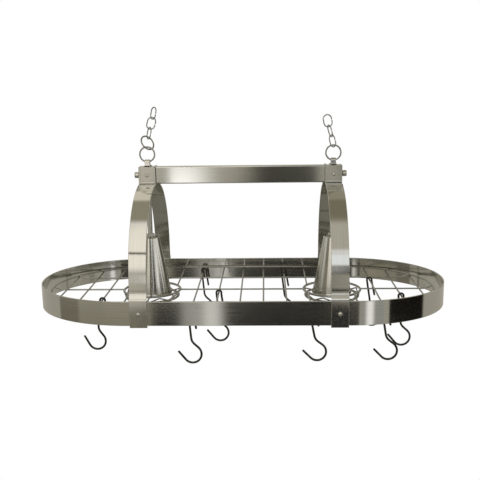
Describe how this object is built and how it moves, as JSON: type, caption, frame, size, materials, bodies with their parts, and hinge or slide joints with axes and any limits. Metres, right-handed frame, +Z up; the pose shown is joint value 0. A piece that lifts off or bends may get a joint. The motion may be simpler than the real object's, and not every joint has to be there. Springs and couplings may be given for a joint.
{
  "type": "hanging pot rack",
  "caption": "Oval hanging pot rack with a wire grid in a brushed metal band, arched straps, a crossbar, cone downlights, open hooks and hanging chains",
  "frame": {"origin": "the point the rack hangs from: over its middle, level with the modelled chains' ends, 345 mm above the band's top edge", "axes": "+X along the oval to the right, +Y from the front to the back, +Z up"},
  "size_m": [0.85, 0.3756, 0.4926],
  "materials": {
    "brushed_nickel": "brushed, lengthwise",
    "bright_steel": "bright plated wire",
    "dark_bright_steel": "bright, reflects dark",
    "brass": "plain",
    "moulded_holder": "smooth"
  },
  "bodies": {
    "rack": {"arch_left": "brushed_nickel", "arch_locknut_left": "brushed_nickel", "arch_locknut_right": "brushed_nickel", "arch_right": "brushed_nickel", "bar_bracket_left": "brushed_nickel", "bar_bracket_right": "brushed_nickel", "bracket_screw_left": "bright_steel", "bracket_screw_right": "bright_steel", "cap_nut_left": "dark_bright_steel", "cap_nut_right": "dark_bright_steel", "cap_washer_left": "dark_bright_steel", "cap_washer_right": "dark_bright_steel", "crossbar": "brushed_nickel", "eye_strap_left": "brushed_nickel", "eye_strap_right": "brushed_nickel", "holder_nut_left": "brass", "holder_nut_right": "brass", "lamp_guard_left": "bright_steel", "lamp_guard_right": "bright_steel", "lamp_holder_left": "moulded_holder", "lamp_holder_right": "moulded_holder", "lamp_shade_left": "brushed_nickel", "lamp_shade_right": "brushed_nickel", "lamp_stem_left": "brushed_nickel", "lamp_stem_right": "brushed_nickel", "rim_band": "brushed_nickel", "rim_nut_back_left": "brushed_nickel", "rim_nut_back_right": "brushed_nickel", "rim_nut_front_left": "brushed_nickel", "rim_nut_front_right": "brushed_nickel", "rim_screw_back_left": "bright_steel", "rim_screw_back_right": "bright_steel", "rim_screw_front_left": "bright_steel", "rim_screw_front_right": "bright_steel", "screw_shell_left": "brass", "screw_shell_right": "brass", "shade_nut_left": "brushed_nickel", "shade_nut_right": "brushed_nickel", "shade_washer_left": "brushed_nickel", "shade_washer_right": "brushed_nickel", "tie_rod": "dark_bright_steel", "wire_grid": "bright_steel"},
    "chain_link_left_1": {"chain_link_left_1": "bright_steel"},
    "chain_link_left_2": {"chain_link_left_2": "bright_steel"},
    "chain_link_left_3": {"chain_link_left_3": "bright_steel"},
    "chain_link_right_1": {"chain_link_right_1": "bright_steel"},
    "chain_link_right_2": {"chain_link_right_2": "bright_steel"},
    "chain_link_right_3": {"chain_link_right_3": "bright_steel"},
    "chain_ring_left": {"chain_ring_left": "bright_steel"},
    "pot_hook_back_1": {"pot_hook_back_1": "dark_bright_steel"},
    "pot_hook_back_2": {"pot_hook_back_2": "dark_bright_steel"},
    "pot_hook_back_3": {"pot_hook_back_3": "dark_bright_steel"},
    "pot_hook_front_1": {"pot_hook_front_1": "dark_bright_steel"},
    "pot_hook_front_2": {"pot_hook_front_2": "dark_bright_steel"},
    "pot_hook_front_3": {"pot_hook_front_3": "dark_bright_steel"},
    "pot_hook_front_4": {"pot_hook_front_4": "dark_bright_steel"},
    "pot_hook_middle_1": {"pot_hook_middle_1": "dark_bright_steel"},
    "pot_hook_middle_2": {"pot_hook_middle_2": "dark_bright_steel"},
    "strap_ring_left": {"strap_ring_left": "bright_steel"},
    "strap_ring_right": {"strap_ring_right": "bright_steel"}
  },
  "joints": [
    {"name": "strap_ring_left_swing", "type": "hinge", "parent": "rack", "child": "strap_ring_left", "pos_m": [-0.1925, 0, -0.09585], "axis": [1, 0, 0], "range_deg": [-30, 30]},
    {"name": "strap_ring_right_swing", "type": "hinge", "parent": "rack", "child": "strap_ring_right", "pos_m": [0.1925, 0, -0.09585], "axis": [1, 0, 0], "range_deg": [-30, 30]},
    {"name": "chain_ring_left_swing", "type": "hinge", "parent": "strap_ring_left", "child": "chain_ring_left", "pos_m": [-0.1925, 0, -0.06515], "axis": [1, 0, 0], "range_deg": [-20, 20]},
    {"name": "chain_link_left_1_swing", "type": "hinge", "parent": "chain_ring_left", "child": "chain_link_left_1", "pos_m": [-0.19184, 0.01834, -0.04617], "axis": [0.7383, 0.4719, -0.4818], "range_deg": [-20, 20]},
    {"name": "chain_link_left_2_swing", "type": "hinge", "parent": "chain_link_left_1", "child": "chain_link_left_2", "pos_m": [-0.18682, 0.01689, -0.02604], "axis": [0.4999, -0.846, -0.1856], "range_deg": [-20, 20]},
    {"name": "chain_link_left_3_swing", "type": "hinge", "parent": "chain_link_left_2", "child": "chain_link_left_3", "pos_m": [-0.18097, 0.01689, -0.00566], "axis": [0.8913, 0.3746, -0.2556], "range_deg": [-20, 20]},
    {"name": "chain_link_right_1_swing", "type": "hinge", "parent": "strap_ring_right", "child": "chain_link_right_1", "pos_m": [0.1925, 0, -0.06515], "axis": [1, 0, 0], "range_deg": [-20, 20]},
    {"name": "chain_link_right_2_swing", "type": "hinge", "parent": "chain_link_right_1", "child": "chain_link_right_2", "pos_m": [0.18747, 0, -0.04497], "axis": [0.674, 0.7193, 0.1681], "range_deg": [-20, 20]},
    {"name": "chain_link_right_3_swing", "type": "hinge", "parent": "chain_link_right_2", "child": "chain_link_right_3", "pos_m": [0.18198, 0, -0.02449], "axis": [0.2985, -0.9511, 0.08], "range_deg": [-20, 20]},
    {"name": "pot_hook_back_1_swing", "type": "hinge", "parent": "rack", "child": "pot_hook_back_1", "pos_m": [-0.0938, 0.15698, -0.368], "axis": [0, 1, 0], "range_deg": [-35, 35]},
    {"name": "pot_hook_back_2_swing", "type": "hinge", "parent": "rack", "child": "pot_hook_back_2", "pos_m": [0.0938, 0.14507, -0.368], "axis": [0, 1, 0], "range_deg": [-35, 35]},
    {"name": "pot_hook_back_3_swing", "type": "hinge", "parent": "rack", "child": "pot_hook_back_3", "pos_m": [0.2814, 0.06477, -0.368], "axis": [0, 1, 0], "range_deg": [-35, 35]},
    {"name": "pot_hook_front_1_swing", "type": "hinge", "parent": "rack", "child": "pot_hook_front_1", "pos_m": [-0.2814, -0.08906, -0.368], "axis": [0, 1, 0], "range_deg": [-35, 35]},
    {"name": "pot_hook_front_2_swing", "type": "hinge", "parent": "rack", "child": "pot_hook_front_2", "pos_m": [-0.0938, -0.16215, -0.368], "axis": [0, 1, 0], "range_deg": [-35, 35]},
    {"name": "pot_hook_front_3_swing", "type": "hinge", "parent": "rack", "child": "pot_hook_front_3", "pos_m": [0.1407, -0.1518, -0.368], "axis": [0, 1, 0], "range_deg": [-35, 35]},
    {"name": "pot_hook_front_4_swing", "type": "hinge", "parent": "rack", "child": "pot_hook_front_4", "pos_m": [0.2814, -0.14574, -0.368], "axis": [0, 1, 0], "range_deg": [-35, 35]},
    {"name": "pot_hook_middle_1_swing", "type": "hinge", "parent": "rack", "child": "pot_hook_middle_1", "pos_m": [-0.0469, -0.0345, -0.368], "axis": [0, 1, 0], "range_deg": [-35, 35]},
    {"name": "pot_hook_middle_2_swing", "type": "hinge", "parent": "rack", "child": "pot_hook_middle_2", "pos_m": [0.3283, -0.0629, -0.368], "axis": [0, 1, 0], "range_deg": [-35, 35]}
  ]
}
